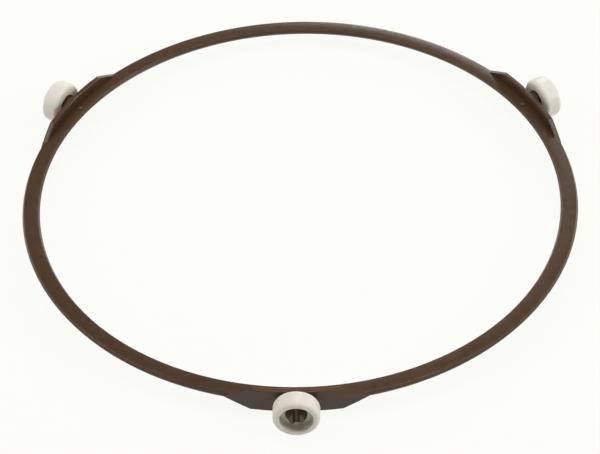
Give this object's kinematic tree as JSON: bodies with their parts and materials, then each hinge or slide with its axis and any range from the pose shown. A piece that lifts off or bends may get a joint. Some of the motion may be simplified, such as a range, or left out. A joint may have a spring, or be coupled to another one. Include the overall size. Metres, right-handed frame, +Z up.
{
  "type": "microwave roller ring",
  "caption": "Slim round ring with small recessed rollers on snap axles around its edge, which carries a glass turntable plate and rolls on the oven floor.",
  "frame": {"origin": "on the ring's axis, on the floor that the rollers stand on", "axes": "+Z up along the ring's axis, -Y towards the front roller"},
  "size_m": [0.204, 0.2128, 0.016],
  "materials": {
    "ring_plastic": "satin dark brown",
    "roller_plastic": "satin off-white"
  },
  "bodies": {
    "ring": {"ring": "ring_plastic"},
    "roller_front": {"roller_front": "roller_plastic"},
    "roller_rear_right": {"roller_rear_right": "roller_plastic"},
    "roller_rear_left": {"roller_rear_left": "roller_plastic"}
  },
  "joints": [
    {"name": "front_roller_spin", "type": "hinge", "parent": "ring", "child": "roller_front", "pos_m": [0, -0.1075, 0.008], "axis": [0, -1, 0], "continuous": true},
    {"name": "rear_right_roller_spin", "type": "hinge", "parent": "ring", "child": "roller_rear_right", "pos_m": [0.0931, 0.05375, 0.008], "axis": [0.866, 0.5, 0], "continuous": true},
    {"name": "rear_left_roller_spin", "type": "hinge", "parent": "ring", "child": "roller_rear_left", "pos_m": [-0.0931, 0.05375, 0.008], "axis": [-0.866, 0.5, 0], "continuous": true}
  ]
}
